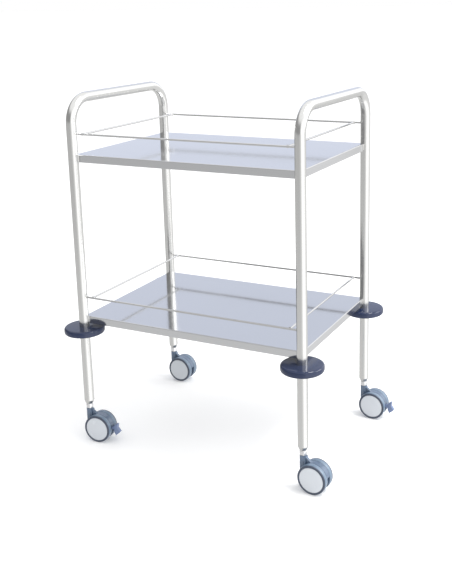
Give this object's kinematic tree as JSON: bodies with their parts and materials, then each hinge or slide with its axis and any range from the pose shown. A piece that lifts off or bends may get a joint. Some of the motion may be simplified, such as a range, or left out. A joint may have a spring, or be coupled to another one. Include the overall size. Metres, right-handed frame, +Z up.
{
  "type": "instrument cart",
  "caption": "Two-shelf stainless trolley: two bent-tube side frames with handles, folded shelves with guard rails, round bumpers and twin-wheel swivel castors.",
  "frame": {"origin": "on the floor, at the centre of the cart's overall footprint with its castors trailing to +X", "axes": "+Z up, +X along the cart from the left handle to the right handle, -Y is the front"},
  "size_m": [0.7386, 0.509, 0.89],
  "materials": {
    "frame_tube": "satin polished stainless steel tube",
    "shelf_sheet": "polished stainless steel sheet with soft reflections",
    "guard_rod": "bright drawn stainless steel rod",
    "bumper": "glossy dark blue moulding with rounded edges",
    "leg_insert": "turned stainless steel",
    "steel_hardware": "bright zinc-plated steel",
    "castor_housing": "blue-grey moulded nylon, semi-gloss",
    "wheel_body": "dark slate moulded nylon",
    "tyre": "blue-grey thermoplastic rubber",
    "wheel_cover": "pale grey moulded cover, semi-gloss",
    "brake_pedal": "blue-grey moulded nylon, lighter than the housing"
  },
  "bodies": {
    "frame": {"bottom_shelf": "shelf_sheet", "bottom_shelf_back_rail": "guard_rod", "bottom_shelf_front_rail": "guard_rod", "bottom_shelf_left_rail": "guard_rod", "bottom_shelf_right_rail": "guard_rod", "bumper_back_left": "bumper", "bumper_back_right": "bumper", "bumper_front_left": "bumper", "bumper_front_right": "bumper", "castor_stems": "steel_hardware", "leg_inserts": "leg_insert", "side_frame_left": "frame_tube", "side_frame_right": "frame_tube", "spring_washers": "steel_hardware", "stem_snap_rings": "steel_hardware", "top_shelf": "shelf_sheet", "top_shelf_back_rail": "guard_rod", "top_shelf_front_rail": "guard_rod", "top_shelf_left_rail": "guard_rod", "top_shelf_right_rail": "guard_rod"},
    "castor_front_left_fork": {"castor_front_left_axle": "steel_hardware", "castor_front_left_axle_retainers": "steel_hardware", "castor_front_left_hood": "castor_housing", "castor_front_left_pivot_pin": "steel_hardware"},
    "castor_front_left_near_roller": {"castor_front_left_near_wheel": "wheel_body", "castor_front_left_near_tyre": "tyre", "castor_front_left_near_cover": "wheel_cover"},
    "castor_front_left_far_roller": {"castor_front_left_far_wheel": "wheel_body", "castor_front_left_far_tyre": "tyre", "castor_front_left_far_cover": "wheel_cover"},
    "castor_front_left_pedal": {"castor_front_left_brake_pedal": "brake_pedal"},
    "castor_front_right_fork": {"castor_front_right_axle": "steel_hardware", "castor_front_right_axle_retainers": "steel_hardware", "castor_front_right_hood": "castor_housing"},
    "castor_front_right_near_roller": {"castor_front_right_near_wheel": "wheel_body", "castor_front_right_near_tyre": "tyre", "castor_front_right_near_cover": "wheel_cover"},
    "castor_front_right_far_roller": {"castor_front_right_far_wheel": "wheel_body", "castor_front_right_far_tyre": "tyre", "castor_front_right_far_cover": "wheel_cover"},
    "castor_back_left_fork": {"castor_back_left_axle": "steel_hardware", "castor_back_left_axle_retainers": "steel_hardware", "castor_back_left_hood": "castor_housing"},
    "castor_back_left_near_roller": {"castor_back_left_near_wheel": "wheel_body", "castor_back_left_near_tyre": "tyre", "castor_back_left_near_cover": "wheel_cover"},
    "castor_back_left_far_roller": {"castor_back_left_far_wheel": "wheel_body", "castor_back_left_far_tyre": "tyre", "castor_back_left_far_cover": "wheel_cover"},
    "castor_back_right_fork": {"castor_back_right_axle": "steel_hardware", "castor_back_right_axle_retainers": "steel_hardware", "castor_back_right_hood": "castor_housing", "castor_back_right_pivot_pin": "steel_hardware"},
    "castor_back_right_near_roller": {"castor_back_right_near_wheel": "wheel_body", "castor_back_right_near_tyre": "tyre", "castor_back_right_near_cover": "wheel_cover"},
    "castor_back_right_far_roller": {"castor_back_right_far_wheel": "wheel_body", "castor_back_right_far_tyre": "tyre", "castor_back_right_far_cover": "wheel_cover"},
    "castor_back_right_pedal": {"castor_back_right_brake_pedal": "brake_pedal"}
  },
  "joints": [
    {"name": "castor_front_left_swivel", "type": "hinge", "parent": "frame", "child": "castor_front_left_fork", "pos_m": [-0.3189, -0.204, 0.036], "axis": [0, 0, 1], "continuous": true},
    {"name": "castor_front_left_near_roll", "type": "hinge", "parent": "castor_front_left_fork", "child": "castor_front_left_near_roller", "pos_m": [-0.28901, -0.20139, 0.036], "axis": [-0.0872, 0.9962, 0], "continuous": true},
    {"name": "castor_front_left_far_roll", "type": "hinge", "parent": "castor_front_left_fork", "child": "castor_front_left_far_roller", "pos_m": [-0.28901, -0.20139, 0.036], "axis": [-0.0872, 0.9962, 0], "continuous": true},
    {"name": "castor_front_left_brake", "type": "hinge", "parent": "castor_front_left_fork", "child": "castor_front_left_pedal", "pos_m": [-0.27009, -0.19973, 0.037], "axis": [-0.0872, 0.9962, 0], "range_deg": [0, 14]},
    {"name": "castor_front_right_swivel", "type": "hinge", "parent": "frame", "child": "castor_front_right_fork", "pos_m": [0.2811, -0.204, 0.036], "axis": [0, 0, 1], "continuous": true},
    {"name": "castor_front_right_near_roll", "type": "hinge", "parent": "castor_front_right_fork", "child": "castor_front_right_near_roller", "pos_m": [0.31103, -0.20609, 0.036], "axis": [0.0698, 0.9976, 0], "continuous": true},
    {"name": "castor_front_right_far_roll", "type": "hinge", "parent": "castor_front_right_fork", "child": "castor_front_right_far_roller", "pos_m": [0.31103, -0.20609, 0.036], "axis": [0.0698, 0.9976, 0], "continuous": true},
    {"name": "castor_back_left_swivel", "type": "hinge", "parent": "frame", "child": "castor_back_left_fork", "pos_m": [-0.3189, 0.204, 0.036], "axis": [0, 0, 1], "continuous": true},
    {"name": "castor_back_left_near_roll", "type": "hinge", "parent": "castor_back_left_fork", "child": "castor_back_left_near_roller", "pos_m": [-0.28891, 0.20322, 0.036], "axis": [0.0262, 0.9997, 0], "continuous": true},
    {"name": "castor_back_left_far_roll", "type": "hinge", "parent": "castor_back_left_fork", "child": "castor_back_left_far_roller", "pos_m": [-0.28891, 0.20322, 0.036], "axis": [0.0262, 0.9997, 0], "continuous": true},
    {"name": "castor_back_right_swivel", "type": "hinge", "parent": "frame", "child": "castor_back_right_fork", "pos_m": [0.2811, 0.204, 0.036], "axis": [0, 0, 1], "continuous": true},
    {"name": "castor_back_right_near_roll", "type": "hinge", "parent": "castor_back_right_fork", "child": "castor_back_right_near_roller", "pos_m": [0.31106, 0.20243, 0.036], "axis": [0.0523, 0.9986, 0], "continuous": true},
    {"name": "castor_back_right_far_roll", "type": "hinge", "parent": "castor_back_right_fork", "child": "castor_back_right_far_roller", "pos_m": [0.31106, 0.20243, 0.036], "axis": [0.0523, 0.9986, 0], "continuous": true},
    {"name": "castor_back_right_brake", "type": "hinge", "parent": "castor_back_right_fork", "child": "castor_back_right_pedal", "pos_m": [0.33003, 0.20144, 0.037], "axis": [0.0523, 0.9986, 0], "range_deg": [0, 14]}
  ]
}
